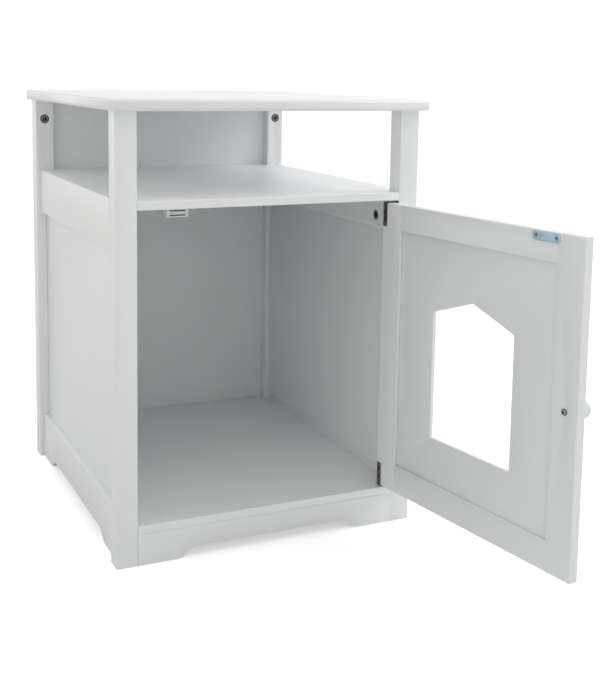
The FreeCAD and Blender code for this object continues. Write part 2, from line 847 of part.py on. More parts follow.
def catch_housing():
    """Moulded housing with two ears and two slots in front for the poles. It is open
    behind, where the magnet and the poles go in."""
    half = catch_w / 2
    body = block((catch_x - half, catch_x + half), (catch_front_y, catch_front_y + catch_d),
                 (shelf_bottom_z - catch_h, shelf_bottom_z))
    body = sanded(body, catch_ease, lambda m, a: m.z < shelf_bottom_z - 0.01)
    half_ear = catch_ear_w / 2
    ears = block((catch_x - half_ear, catch_x + half_ear), (catch_front_y, catch_front_y + catch_ear_d),
                 (shelf_bottom_z - catch_ear_t, shelf_bottom_z))
    ears = sanded(ears, catch_ear_corner, lambda m, a: abs(a.z) > 0.9)
    pocket_x = (catch_x - pole_w / 2 - fit_gap, catch_x + pole_w / 2 + fit_gap)
    behind = catch_front_y + catch_d
    outer = (pole_pitch + pole_t) / 2 + fit_gap
    inner = (pole_pitch - pole_t) / 2 - fit_gap
    pockets = [
        block(pocket_x, (catch_front_y, behind), (pole_mid_z + inner, pole_mid_z + outer)),
        block(pocket_x, (catch_front_y, behind), (pole_mid_z - outer, pole_mid_z - inner)),
        block(pocket_x, (catch_front_y + catch_bridge_t, behind), (pole_mid_z - inner, pole_mid_z + inner)),
    ]
    hole_d = catch_screw_d + 2 * screw_play
    holes = [peg(hole_d, (x, y, z - 1), (0, 0, 1), catch_ear_t + 2, screw_sides)
             for x, y, z in catch_screw_places()]
    return body.fuse(ears).removeSplitter().cut(pockets + holes)


def catch_pole_plates():
    """Two steel strips that carry the magnet's pull to the strike plate."""
    solids = []
    for side in (-1, 1):
        mid = pole_mid_z + side * pole_pitch / 2
        solids.append(block((catch_x - pole_w / 2, catch_x + pole_w / 2),
                            (catch_front_y - pole_proud, catch_front_y - pole_proud + pole_d),
                            (mid - pole_t / 2, mid + pole_t / 2)))
    return Part.makeCompound(solids)


def catch_magnet():
    gap = pole_pitch - pole_t - 2 * fit_gap
    return block((catch_x - magnet_w / 2, catch_x + magnet_w / 2),
                 (catch_front_y + catch_bridge_t + fit_gap, catch_front_y + pole_d - pole_proud),
                 (pole_mid_z - gap / 2, pole_mid_z + gap / 2))


def catch_screws():
    solids = []
    for x, y, z in catch_screw_places():
        profile = [
            (-catch_screw_head_h, 0), (-catch_screw_head_h, catch_screw_head_d / 2 - 0.7),
            (-catch_screw_head_h / 2, catch_screw_head_d / 2), (0, catch_screw_head_d / 2),
            (0, catch_screw_d / 2), (catch_screw_len - catch_screw_d, catch_screw_d / 2),
            (catch_screw_len, 0),
        ]
        screw = turned(profile, (x, y, z), (0, 0, 1))
        recess = cross_recess((x, y, z - catch_screw_head_h), (0, 0, 1), catch_screw_head_d * 0.5)
        solids.append(screw.cut(recess))
    return Part.makeCompound(solids)


# --- strike plate

def strike_mid():
    return catch_x + strike_shift, door_top_z - strike_top_margin - strike_h / 2


def strike_screw_seats():
    x, z = strike_mid()
    half = strike_screw_pitch / 2
    return [((x + side * half, door_inner_y + strike_t, z), (0, -1, 0)) for side in (-1, 1)]


def strike_screw_bores():
    return [countersunk_bore(p, d, hinge_screw_len + bore_room) for p, d in strike_screw_seats()]


def strike_plate():
    """Flat steel plate on the door's inner face that the magnet holds."""
    x, z = strike_mid()
    solid = block((x - strike_w / 2, x + strike_w / 2), (door_inner_y, door_inner_y + strike_t),
                  (z - strike_h / 2, z + strike_h / 2))
    solid = rounded(solid, strike_corner, lambda m, a: abs(a.y) > 0.9)
    return swung(solid.cut(strike_screw_bores()))


def strike_screws():
    screws = [countersunk_screw(p, d, hinge_screw_len) for p, d in strike_screw_seats()]
    return Part.makeCompound([swung(screw) for screw in screws])


# --- knob

def knob_x():
    return across(door_w - stile_w / 2)


def knob():
    """Turned knob: round foot, waisted neck and domed head, with a blind screw hole."""
    foot = knob_foot_d / 2
    neck = knob_neck_d / 2
    head = knob_d / 2
    profile = [
        (0, 0), (0, foot), (knob_foot_h, foot), (knob_foot_h + 1.0, neck + 0.5), (knob_len * 0.3, neck),
        (knob_len * 0.44, neck + 0.8), (knob_len * 0.54, head * 0.84), (knob_len * 0.62, head * 0.97),
        (knob_len * 0.72, head), (knob_len * 0.82, head * 0.94), (knob_len * 0.91, head * 0.76),
        (knob_len * 0.97, head * 0.45), (knob_len, 0),
    ]
    base = (knob_x(), front_y, knob_z)
    bore_d = knob_screw_d + 2 * screw_play
    bore = peg(bore_d, base, (0, -1, 0), knob_screw_bite + bore_room, screw_sides)
    return swung(turned(profile, base, (0, -1, 0), knob_sides).cut(bore))


def knob_screw():
    """Machine screw with a wide low head, through the stile into the knob."""
    length = door_t + knob_screw_bite
    head = knob_screw_head_d / 2
    profile = [
        (-knob_screw_head_h, 0), (-knob_screw_head_h, head * 0.45), (-knob_screw_head_h * 0.55, head * 0.85),
        (0, head), (0, knob_screw_d / 2), (length - 0.8, knob_screw_d / 2),
        (length, knob_screw_d / 2 - 0.8), (length, 0),
    ]
    point = (knob_x(), door_inner_y, knob_z)
    screw = turned(profile, point, (0, -1, 0))
    top = (point[0], point[1] + knob_screw_head_h, point[2])
    return swung(screw.cut(cross_recess(top, (0, -1, 0), knob_screw_head_d * 0.45)))


def mirrored(shape):
    return shape.mirror(V(0, 0, 0), V(1, 0, 0))


nodes = {
    "top_panel": top_panel(),
    "front_left_post": corner(corner_post(False), 0, 0),
    "front_right_post": corner(corner_post(False), 1, 0).cut(arm_screw_bores()),
    "rear_left_post": corner(corner_post(True), 0, 1),
    "rear_right_post": corner(corner_post(True), 1, 1),
    "left_top_rail": top_rail(),
    "right_top_rail": mirrored(top_rail()),
    "left_bottom_rail": bottom_rail(),
    "right_bottom_rail": mirrored(bottom_rail()),
    "left_side_panel": side_panel(),
    "right_side_panel": mirrored(side_panel()),
    "shelf_board": shelf_board(),
    "floor_board": floor_board(),
    "front_apron": front_apron(),
    "back_panel": back_panel(),
    "back_bottom_rail": back_bottom_rail(),
    "frame_dowels": frame_dowels(),
    "cam_locks": cam_parts(cam_lock),
    "cam_bolts": cam_parts(cam_bolt),
    "lower_hinge_arm": hinge_arm(False),
    "upper_hinge_arm": hinge_arm(True),
    "lower_hinge_pin": hinge_pin(False),
    "upper_hinge_pin": hinge_pin(True),
    "hinge_arm_screws": arm_screws(),
    "catch_housing": catch_housing(),
    "catch_pole_plates": catch_pole_plates(),
    "catch_magnet": catch_magnet(),
    "catch_screws": catch_screws(),
    "door_hinge_stile": door_hinge_stile(),
    "door_free_stile": door_free_stile(),
    "door_top_rail": door_top_rail(),
    "door_bottom_rail": door_bottom_rail(),
    "door_panel": door_panel(),
    "door_dowels": door_dowels(),
    "lower_door_leaf": door_leaf(False),
    "upper_door_leaf": door_leaf(True),
    "door_leaf_screws": leaf_screws(),
    "strike_plate": strike_plate(),
    "strike_screws": strike_screws(),
    "knob": knob(),
    "knob_screw": knob_screw(),
}

os.makedirs("parts", exist_ok=True)
to_left_foot = V(half_w - post / 2, half_d - post / 2, 0)
for node, shape in nodes.items():
    placed = shape.translated(to_left_foot)
    placed.exportStep("parts/" + node + ".step")
    print(node, len(placed.Solids), "solids", placed.isValid(), round(placed.Volume, 1))
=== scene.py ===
import json
import math

import bmesh
import bpy
from mathutils import Matrix, Vector


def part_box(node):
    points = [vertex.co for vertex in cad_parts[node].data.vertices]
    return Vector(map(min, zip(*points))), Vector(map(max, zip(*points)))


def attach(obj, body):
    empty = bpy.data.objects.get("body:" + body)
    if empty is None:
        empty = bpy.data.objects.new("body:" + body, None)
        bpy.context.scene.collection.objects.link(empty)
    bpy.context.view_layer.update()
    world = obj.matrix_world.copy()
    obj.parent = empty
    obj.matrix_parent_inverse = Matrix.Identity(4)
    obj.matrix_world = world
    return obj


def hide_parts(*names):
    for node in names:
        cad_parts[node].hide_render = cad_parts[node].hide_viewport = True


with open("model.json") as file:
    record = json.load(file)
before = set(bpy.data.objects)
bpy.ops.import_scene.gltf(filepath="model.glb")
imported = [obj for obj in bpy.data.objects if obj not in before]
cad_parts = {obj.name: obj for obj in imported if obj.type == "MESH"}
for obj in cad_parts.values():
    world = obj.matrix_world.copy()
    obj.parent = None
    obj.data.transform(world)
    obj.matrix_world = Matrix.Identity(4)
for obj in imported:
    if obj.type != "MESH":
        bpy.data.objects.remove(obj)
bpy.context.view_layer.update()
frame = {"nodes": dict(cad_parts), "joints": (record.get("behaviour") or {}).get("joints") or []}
MM = 0.001

# --- corner posts -------------------------------------------------------------------------
# Four square posts of solid wood, planed, sanded on their edges and lacquered satin white.
# They carry every other piece: the rails are dowelled to them and the top is cammed to them.

post_edge = 0.35 * MM
joint_gap = 0.25 * MM           # hairline left at each end of a butted rail
weld_dist = 0.002 * MM
flat_angle = math.radians(0.6)  # faces closer than this are one flat face
edge_angle = math.radians(28)   # edges sharper than this are sanded
post_white = (0.89, 0.916, 0.926)


def lacquer_film_group():
    """Sprayed white lacquer: a faint mottle, fine peel, and grain that shows through it."""
    group = bpy.data.node_groups.new("lacquer_film", "ShaderNodeTree")
    face = group.interface
    for name, kind, value in (
        ("Vector", "NodeSocketVector", None), ("White", "NodeSocketColor", (0.86, 0.87, 0.87, 1)),
        ("Mottle", "NodeSocketFloat", 0.02), ("Peel", "NodeSocketFloat", 0.25),
        ("Grain", "NodeSocketFloat", 0.2), ("Sheen Drift", "NodeSocketFloat", 0.05),
        ("Satin", "NodeSocketFloat", 0.38),
    ):
        socket = face.new_socket(name, in_out="INPUT", socket_type=kind)
        if value is not None:
            socket.default_value = value
    face.new_socket("Color", in_out="OUTPUT", socket_type="NodeSocketColor")
    face.new_socket("Roughness", in_out="OUTPUT", socket_type="NodeSocketFloat")
    face.new_socket("Height", in_out="OUTPUT", socket_type="NodeSocketFloat")
    nodes, links = group.nodes, group.links
    start = nodes.new("NodeGroupInput")
    end = nodes.new("NodeGroupOutput")

    def noise(scale, detail, stretch=None):
        source = start.outputs["Vector"]
        if stretch is not None:
            mapping = nodes.new("ShaderNodeMapping")
            mapping.inputs["Scale"].default_value = stretch
            links.new(source, mapping.inputs["Vector"])
            source = mapping.outputs["Vector"]
        node = nodes.new("ShaderNodeTexNoise")
        node.inputs["Scale"].default_value = scale
        node.inputs["Detail"].default_value = detail
        links.new(source, node.inputs["Vector"])
        return node.outputs["Fac"]

    def math_node(operation, first, second, third=None):
        node = nodes.new("ShaderNodeMath")
        node.operation = operation
        for socket, value in zip(node.inputs, (first, second, third)):
            if value is None:
                continue
            if isinstance(value, (int, float)):
                socket.default_value = value
            else:
                links.new(value, socket)
        return node.outputs[0]

    broad = noise(9.0, 3.0)
    grain = noise(60.0, 4.0, (6.0, 6.0, 0.35))
    peel = noise(900.0, 2.0)
    centred = math_node("SUBTRACT", broad, 0.5)
    tone = math_node("MULTIPLY_ADD", centred, start.outputs["Mottle"], 1.0)
    shade = nodes.new("ShaderNodeVectorMath")
    shade.operation = "SCALE"
    links.new(start.outputs["White"], shade.inputs[0])
    links.new(tone, shade.inputs["Scale"])
    links.new(shade.outputs["Vector"], end.inputs["Color"])
    rough = math_node("MULTIPLY_ADD", centred, start.outputs["Sheen Drift"], start.outputs["Satin"])
    links.new(rough, end.inputs["Roughness"])
    peel_height = math_node("MULTIPLY", peel, start.outputs["Peel"])
    height = math_node("MULTIPLY_ADD", grain, start.outputs["Grain"], peel_height)
    links.new(height, end.inputs["Height"])
    return group


lacquer_film = lacquer_film_group()


def lacquered(name, white, grain_turn=(0, 0, 0), grain=0.2, peel=0.25, mottle=0.02, satin=0.38):
    """A lacquered material. grain_turn lays the grain, which runs along Z, along the board."""
    material = bpy.data.materials.new(name)
    material.use_nodes = True
    nodes, links = material.node_tree.nodes, material.node_tree.links
    surface = nodes["Principled BSDF"]
    surface.inputs["Coat Weight"].default_value = 0.08
    surface.inputs["Coat Roughness"].default_value = 0.3
    where = nodes.new("ShaderNodeTexCoord")
    turn = nodes.new("ShaderNodeMapping")
    turn.inputs["Rotation"].default_value = grain_turn
    film = nodes.new("ShaderNodeGroup")
    film.node_tree = lacquer_film
    film.inputs["White"].default_value = (*white, 1)
    film.inputs["Mottle"].default_value = mottle
    film.inputs["Grain"].default_value = grain
    film.inputs["Peel"].default_value = peel
    film.inputs["Satin"].default_value = satin
    bump = nodes.new("ShaderNodeBump")
    bump.inputs["Strength"].default_value = 0.25
    bump.inputs["Distance"].default_value = 0.15 * MM
    links.new(where.outputs["Object"], turn.inputs["Vector"])
    links.new(turn.outputs["Vector"], film.inputs["Vector"])
    links.new(film.outputs["Color"], surface.inputs["Base Color"])
    links.new(film.outputs["Roughness"], surface.inputs["Roughness"])
    links.new(film.outputs["Height"], bump.inputs["Height"])
    links.new(bump.outputs["Normal"], surface.inputs["Normal"])
    return material


def plain_mesh(piece):
    """Turn a piece with modifiers into one plain mesh, and drop the modifiers."""
    bpy.context.view_layer.update()
    depsgraph = bpy.context.evaluated_depsgraph_get()
    made = bpy.data.meshes.new_from_object(piece.evaluated_get(depsgraph))
    piece.modifiers.clear()
    piece.data = made
    return piece


def add_piece(name, mesh):
    piece = bpy.data.objects.new(name, mesh)
    bpy.context.scene.collection.objects.link(piece)
    return piece


def eased_copy(node, name, width, material, body, segments=2, joint_axis=None):
    """The node's own shape with every sharp edge rounded as lacquer and sanding leave it.
    joint_axis names the axis along which both ends stand a hairline back from their joints."""
    mesh = frame["nodes"][node].data.copy()
    if joint_axis is not None:
        at_end = 0.01 * MM
        reach = [vert.co[joint_axis] for vert in mesh.vertices]
        low, high = min(reach), max(reach)
        for vert, place in zip(mesh.vertices, reach):
            if place - low < at_end:
                vert.co[joint_axis] += joint_gap
            elif high - place < at_end:
                vert.co[joint_axis] -= joint_gap
    tidy = bmesh.new()
    tidy.from_mesh(mesh)
    bmesh.ops.remove_doubles(tidy, verts=tidy.verts, dist=weld_dist)
    bmesh.ops.dissolve_limit(tidy, angle_limit=flat_angle, verts=tidy.verts, edges=tidy.edges)
    tidy.to_mesh(mesh)
    tidy.free()
    mesh.materials.clear()
    mesh.materials.append(material)
    mesh.shade_smooth()
    piece = add_piece(name, mesh)
    bevel = piece.modifiers.new("sanded", "BEVEL")
    bevel.width = width
    bevel.segments = segments
    bevel.limit_method = "ANGLE"
    bevel.angle_limit = edge_angle
    bevel.harden_normals = True
    plain_mesh(piece)
    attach(piece, body)
    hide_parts(node)
    return piece


post_lacquer = lacquered("post_lacquer", post_white, grain=0.25)
for post in ("front_left_post", "front_right_post", "rear_left_post", "rear_right_post"):
    eased_copy(post, post + "_lacquered", post_edge, post_lacquer, "cabinet")

# --- scalloped rails and apron ------------------------------------------------------------
# Solid wood rails between the posts. The two bottom rails and the apron under the floor are
# sawn to an ogee scallop and sanded; the top rails hide the shelf's edges behind a thin lip.

rail_edge = 0.4 * MM
lay_along_y = (math.pi / 2, 0, 0)
lay_along_x = (0, math.pi / 2, 0)
rail_lacquer = lacquered("side_rail_lacquer", post_white, lay_along_y, grain=0.25)
apron_lacquer = lacquered("apron_lacquer", post_white, lay_along_x, grain=0.25)
for rail in ("left_top_rail", "right_top_rail", "left_bottom_rail", "right_bottom_rail"):
    eased_copy(rail, rail + "_lacquered", rail_edge, rail_lacquer, "cabinet", joint_axis=1)
for rail in ("front_apron", "back_bottom_rail"):
    eased_copy(rail, rail + "_lacquered", rail_edge, apron_lacquer, "cabinet", joint_axis=0)

# --- shelf and floor boards ---------------------------------------------------------------
# Two 12 mm fibreboards with lacquered edges, notched round the posts and flush with them in
# front. Fibreboard has no grain, so only the film's peel and mottle show.

board_edge = 0.5 * MM
board_white = (0.912, 0.935, 0.945)
board_lacquer = lacquered("board_lacquer", board_white, grain=0.0, peel=0.35, mottle=0.025)
for board in ("shelf_board", "floor_board"):
    eased_copy(board, board + "_lacquered", board_edge, board_lacquer, "cabinet")

# --- thin panels --------------------------------------------------------------------------
# Side panels of 5 mm and a back panel of 6 mm fibreboard, held loose in grooves of the posts
# and rebates of the rails, so a hairline of shadow runs round each of them.

panel_edge = 0.25 * MM
panel_white = (0.892, 0.918, 0.928)
panel_lacquer = lacquered(
    "thin_panel_lacquer", panel_white, grain=0.0, peel=0.4, mottle=0.03, satin=0.42)
for panel in ("left_side_panel", "right_side_panel", "back_panel"):
    eased_copy(panel, panel + "_lacquered", panel_edge, panel_lacquer, "cabinet")

# --- top ----------------------------------------------------------------------------------
# A 16 mm top with well rounded edges on its front and sides, pulled down by the cams in the
# posts. It has one more coat of lacquer than the rest, so it is smoother and glossier.

top_edge = 0.3 * MM
top_white = (0.88, 0.9, 0.91)
top_lacquer = lacquered("top_lacquer", top_white, grain=0.0, peel=0.2, mottle=0.02, satin=0.33)
eased_copy("top_panel", "top_panel_lacquered", top_edge, top_lacquer, "cabinet")

# --- dowels -------------------------------------------------------------------------------
# Bare beech pegs between posts and rails and in the door's frame. They are all inside the
# wood, so they keep the solids' own shape and only get their colour.


def bare_beech():
    material = bpy.data.materials.new("bare_beech")
    material.use_nodes = True
    nodes, links = material.node_tree.nodes, material.node_tree.links
    where = nodes.new("ShaderNodeTexCoord")
    grain = nodes.new("ShaderNodeTexNoise")
    grain.inputs["Scale"].default_value = 220
    grain.inputs["Detail"].default_value = 4
    tones = nodes.new("ShaderNodeValToRGB")
    tones.color_ramp.elements[0].color = (0.42, 0.26, 0.13, 1)
    tones.color_ramp.elements[1].color = (0.66, 0.46, 0.27, 1)
    links.new(where.outputs["Object"], grain.inputs["Vector"])
    links.new(grain.outputs["Fac"], tones.inputs["Fac"])
    links.new(tones.outputs["Color"], nodes["Principled BSDF"].inputs["Base Color"])
    nodes["Principled BSDF"].inputs["Roughness"].default_value = 0.7
    return material


beech = bare_beech()
for pegs in ("frame_dowels", "door_dowels"):
    for slot in frame["nodes"][pegs].material_slots:
        slot.material = beech

# --- cam locks and bolts ------------------------------------------------------------------
# Dark die-cast drums, 15 mm across, pressed into the posts, the top rails and the floor
# board. Each has a thin rim, a turned ring and a sunk cross, and pulls a zinc-plated bolt.

cam_radius = 7.4 * MM
cam_depth = 10.5 * MM
cam_reach = 32 * MM             # cam's centre to the joint that it pulls shut
cam_from_post = 70 * MM         # cams of the rails, in from the posts' middles
rear_post_y = 487 * MM          # middle of the rear posts; the front posts' is at 0


def metal(name, tint, roughness, mottle=0.08, scale=400, brushed=None, painted_shade_tint=None, metallic=1.0):
    """Plated or cast metal: its tint and roughness drift over the surface, with a fine bump.
    The optional darker tint is painted shade: it goes on the faces that a fitting's attribute marks as
    lying in shade, in its recesses and round its rim."""
    material = bpy.data.materials.new(name)
    material.use_nodes = True
    nodes, links = material.node_tree.nodes, material.node_tree.links
    surface = nodes["Principled BSDF"]
    surface.inputs["Metallic"].default_value = metallic
    where = nodes.new("ShaderNodeTexCoord")
    stretch = nodes.new("ShaderNodeMapping")
    stretch.inputs["Scale"].default_value = brushed or (1, 1, 1)
    grit = nodes.new("ShaderNodeTexNoise")
    grit.inputs["Scale"].default_value = scale
    grit.inputs["Detail"].default_value = 5
    dark = tuple(c * (1 - mottle) for c in tint)
    light = tuple(min(1.0, c * (1 + mottle)) for c in tint)
    tones = nodes.new("ShaderNodeValToRGB")
    tones.color_ramp.elements[0].position = 0.3
    tones.color_ramp.elements[1].position = 0.7
    tones.color_ramp.elements[0].color = (*dark, 1)
    tones.color_ramp.elements[1].color = (*light, 1)
    spread = nodes.new("ShaderNodeMapRange")
    spread.inputs["To Min"].default_value = roughness * 0.8
    spread.inputs["To Max"].default_value = roughness * 1.25
    bump = nodes.new("ShaderNodeBump")
    bump.inputs["Strength"].default_value = 0.2
    bump.inputs["Distance"].default_value = 0.05 * MM
    links.new(where.outputs["Object"], stretch.inputs["Vector"])
    links.new(stretch.outputs["Vector"], grit.inputs["Vector"])
    links.new(grit.outputs["Fac"], tones.inputs["Fac"])
    colour = tones.outputs["Color"]
    # Painted shade: the faces marked by the attribute take the darker tint, for the shade in the
    # fitting's recesses and rim gap.
    if painted_shade_tint is not None:
        marked = nodes.new("ShaderNodeAttribute")
        marked.attribute_name = "painted_shade_mask"
        darken = nodes.new("ShaderNodeMix")
        darken.data_type = "RGBA"
        darken.inputs["B"].default_value = (*painted_shade_tint, 1)
        links.new(marked.outputs["Fac"], darken.inputs["Factor"])
        links.new(colour, darken.inputs["A"])
        colour = darken.outputs["Result"]
    links.new(colour, surface.inputs["Base Color"])
    links.new(grit.outputs["Fac"], spread.inputs["Value"])
    links.new(spread.outputs["Result"], surface.inputs["Roughness"])
    links.new(grit.outputs["Fac"], bump.inputs["Height"])
    links.new(bump.outputs["Normal"], surface.inputs["Normal"])
    return material


def lathe(profile, sides=48):
    """Mesh turned about Z from (height, radius) pairs that start and end on the axis."""
    shape = bmesh.new()
    rings = []
    for height, radius in profile:
        if radius == 0:
            rings.append([shape.verts.new((0, 0, height))])
            continue
        turns = [2 * math.pi * k / sides for k in range(sides)]
        ring = [(radius * math.cos(turn), radius * math.sin(turn), height) for turn in turns]
        rings.append([shape.verts.new(place) for place in ring])
    for lower, upper in zip(rings, rings[1:]):
        for k in range(sides):
            after = (k + 1) % sides
            corners = [lower[0]] if len(lower) == 1 else [lower[k], lower[after]]
            corners += [upper[0]] if len(upper) == 1 else [upper[after], upper[k]]
            shape.faces.new(corners)
    bmesh.ops.recalc_face_normals(shape, faces=shape.faces)
    mesh = bpy.data.meshes.new("turned")
    shape.to_mesh(mesh)
    shape.free()
    return mesh


def cross_cut(piece, across, width, depth, top):
    """Cut a tapered cross recess into the top of a turned piece."""
    shape = bmesh.new()
    for turn in (0, math.pi / 2):
        bar = bmesh.ops.create_cube(shape, size=1)["verts"]
        for vert in bar:
            lower = vert.co.z < 0
            vert.co.x *= across * (0.7 if lower else 1)
            vert.co.y *= width * (0.75 if lower else 1)
            vert.co.z = top - depth if lower else top + depth
        bmesh.ops.rotate(shape, verts=bar, matrix=Matrix.Rotation(turn, 3, "Z"))
    mesh = bpy.data.meshes.new("cross")
    shape.to_mesh(mesh)
    shape.free()
    cutter = add_piece("cross_cutter", mesh)
    cut = piece.modifiers.new("recess", "BOOLEAN")
    cut.object = cutter
    cut.operation = "DIFFERENCE"
    cut.solver = "EXACT"
    cut.use_self = True
    plain_mesh(piece)
    bpy.data.objects.remove(cutter)
    return piece


def mark_recess(mesh, shade):
    """Give each face its share of painted shade, from its middle's distance from the axis and height.
    """
    marks = mesh.attributes.new("painted_shade_mask", "FLOAT", "FACE")
    for face in mesh.polygons:
        middle = face.center
        marks.data[face.index].value = float(shade(math.hypot(middle.x, middle.y), middle.z))


def set_out_tree():
    """One copy of a fitting on each seat point, turned so that its head faces outwards."""
    tree = bpy.data.node_groups.new("set_out_fittings", "GeometryNodeTree")
    face = tree.interface
    face.new_socket("Seats", in_out="INPUT", socket_type="NodeSocketGeometry")
    face.new_socket("Fitting", in_out="INPUT", socket_type="NodeSocketObject")
    face.new_socket("Finish", in_out="INPUT", socket_type="NodeSocketMaterial")
    size = face.new_socket("Size", in_out="INPUT", socket_type="NodeSocketFloat")
    size.default_value = 1.0
    face.new_socket("Geometry", in_out="OUTPUT", socket_type="NodeSocketGeometry")
    nodes, links = tree.nodes, tree.links
    start = nodes.new("NodeGroupInput")
    end = nodes.new("NodeGroupOutput")
    fitting = nodes.new("GeometryNodeObjectInfo")
    facing = nodes.new("GeometryNodeInputNamedAttribute")
    facing.data_type = "FLOAT_VECTOR"
    facing.inputs["Name"].default_value = "facing"
    turn = nodes.new("FunctionNodeAlignRotationToVector")
    turn.axis = "Z"
    place = nodes.new("GeometryNodeInstanceOnPoints")
    real = nodes.new("GeometryNodeRealizeInstances")
    finish = nodes.new("GeometryNodeSetMaterial")
    links.new(start.outputs["Fitting"], fitting.inputs["Object"])
    links.new(start.outputs["Seats"], place.inputs["Points"])
    links.new(fitting.outputs["Geometry"], place.inputs["Instance"])
    links.new(facing.outputs["Attribute"], turn.inputs["Vector"])
    links.new(turn.outputs["Rotation"], place.inputs["Rotation"])
    links.new(start.outputs["Size"], place.inputs["Scale"])
    links.new(place.outputs["Instances"], real.inputs["Geometry"])
    links.new(real.outputs["Geometry"], finish.inputs["Geometry"])
    links.new(start.outputs["Finish"], finish.inputs["Material"])
    links.new(finish.outputs["Geometry"], end.inputs["Geometry"])
    return tree


set_out_fittings = set_out_tree()


def set_out(name, seats, fitting, finish, body, node):
    """Put a fitting on every seat (point, facing) and let the result stand for a CAD node."""
    mesh = bpy.data.meshes.new(name)
    mesh.from_pydata([point for point, _ in seats], [], [])
    facing = mesh.attributes.new("facing", "FLOAT_VECTOR", "POINT")
    for k, (_, direction) in enumerate(seats):
        facing.data[k].vector = direction
    piece = add_piece(name, mesh)
    nodes = piece.modifiers.new("set_out", "NODES")
    nodes.node_group = set_out_fittings
    sockets = {item.name: item.identifier for item in set_out_fittings.interface.items_tree}
    nodes[sockets["Fitting"]] = fitting
    nodes[sockets["Finish"]] = finish
    nodes[sockets["Size"]] = 1.0
    plain_mesh(piece)
    bpy.data.objects.remove(fitting)
    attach(piece, body)
    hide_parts(node)
    return piece


def smooth_by_angle(mesh, degrees=35):
    mesh.shade_smooth()
    mesh.set_sharp_from_angle(angle=math.radians(degrees))


cam_face = -0.1 * MM
cam_head = add_piece("cam_head", lathe([
    (-cam_depth, 0), (-cam_depth, cam_radius - 0.6 * MM), (-cam_depth + 0.6 * MM, cam_radius),
    (0.01 * MM, cam_radius), (0.01 * MM, cam_radius + 0.15 * MM),
    (0.1 * MM, cam_radius + 0.1 * MM), (0.1 * MM, cam_radius - 0.7 * MM),
    (-0.45 * MM, cam_radius - 0.9 * MM), (-0.45 * MM, cam_radius - 1.3 * MM),
    (cam_face, cam_radius - 1.6 * MM), (cam_face, 3.6 * MM), (-0.9 * MM, 3.0 * MM), (-0.9 * MM, 0),
], 56))
cross_cut(cam_head, across=8.6 * MM, width=2.0 * MM, depth=2.4 * MM, top=cam_face)


def cam_shade(radius, height):
    """How much painted shade a face of the drum takes: the sunk centre and cross fully, the outer rim
    in part.
    """
    centre_edge, rim_edge, sunk = 5.0 * MM, 5.9 * MM, -0.3 * MM
    if radius < centre_edge:
        return 1.0 if height < sunk else 0.0
    return 0.65 if radius > rim_edge or height < sunk else 0.0


mark_recess(cam_head.data, cam_shade)
smooth_by_angle(cam_head.data)

cam_seats = []
shelf_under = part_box("shelf_board")[0].z
floor_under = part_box("floor_board")[0].z
for side in ("left", "right"):
    for end, facing in (("front", 1), ("rear", -1)):
        low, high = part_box(f"{end}_{side}_post")
        face_y = high.y if end == "front" else low.y
        cam_seats.append((((low.x + high.x) / 2, face_y, high.z - cam_reach), (0, facing, 0)))
    low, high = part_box(f"{side}_top_rail")
    face_x = high.x if side == "left" else low.x
    inward = 1 if side == "left" else -1
    for y in (cam_from_post, rear_post_y - cam_from_post):
        cam_seats.append(((face_x, y, shelf_under - cam_reach), (inward, 0, 0)))
        cam_seats.append(((face_x + inward * cam_reach, y, floor_under), (0, 0, -1)))
# The cam heads' darker tint is painted shade on their sunk centre, cross and rim gap.
dark_zinc = metal(
    "dark_cast_zinc", (0.255, 0.26, 0.25), 0.46, mottle=0.25, scale=500,
    painted_shade_tint=(0.012, 0.012, 0.011))
set_out("cam_lock_heads", cam_seats, cam_head, dark_zinc, "cabinet", "cam_locks")
# The steel's darker tint is painted shade in the catch screws' crosses.
plated_steel = metal("plated_steel", (0.62, 0.63, 0.64), 0.3, scale=350, painted_shade_tint=(0.1, 0.1, 0.1))
for slot in frame["nodes"]["cam_bolts"].material_slots:
    slot.material = plated_steel

# --- pivot hinges -------------------------------------------------------------------------
# Pressed L plates with a dark bronze finish: an arm screwed to the post and a leaf let into
# the door, joined by a riveted 3 mm pin at the door's top and bottom corners.

plate_edge = 0.18 * MM
# The bronzes' darker tints are painted shade in the hinge screws' crosses and rims.
arm_bronze = metal(
    "arm_bronze", (0.235, 0.23, 0.21), 0.4, mottle=0.3, scale=300, brushed=(1, 1, 0.3),
    painted_shade_tint=(0.03, 0.028, 0.024), metallic=0.9)
leaf_bronze = metal(
    "leaf_bronze", (0.17, 0.158, 0.135), 0.42, mottle=0.35, scale=260, brushed=(1, 1, 0.2),
    painted_shade_tint=(0.02, 0.017, 0.013), metallic=0.9)
for plate in ("lower_hinge_arm", "upper_hinge_arm"):
    eased_copy(plate, plate + "_pressed", plate_edge, arm_bronze, "cabinet")
for plate in ("lower_door_leaf", "upper_door_leaf"):
    eased_copy(plate, plate + "_pressed", plate_edge, leaf_bronze, "door")
for pin in ("lower_hinge_pin", "upper_hinge_pin"):
    for slot in frame["nodes"][pin].material_slots:
        slot.material = plated_steel

pin_from_edge = 7.5 * MM
pin_from_face = 7 * MM
door_t = 14 * MM
pin_at = Vector(frame["joints"][0]["pos_m"])
open_turn = math.radians(-frame["joints"][0]["range_deg"][0])
door_turn = Matrix.Rotation(open_turn, 4, "Z")
hinge_edge_x = pin_at.x + pin_from_edge
door_face_y = pin_at.y - pin_from_face


def on_door(across, depth, z):
    """Point on the open door: across from its hinge edge, depth in from its outer face."""
    shut = Vector((hinge_edge_x - across, door_face_y + depth, z)) - pin_at
    return pin_at + door_turn @ shut


door_outward = door_turn.to_3x3() @ Vector((0, -1, 0))
door_inward = door_turn.to_3x3() @ Vector((0, 1, 0))


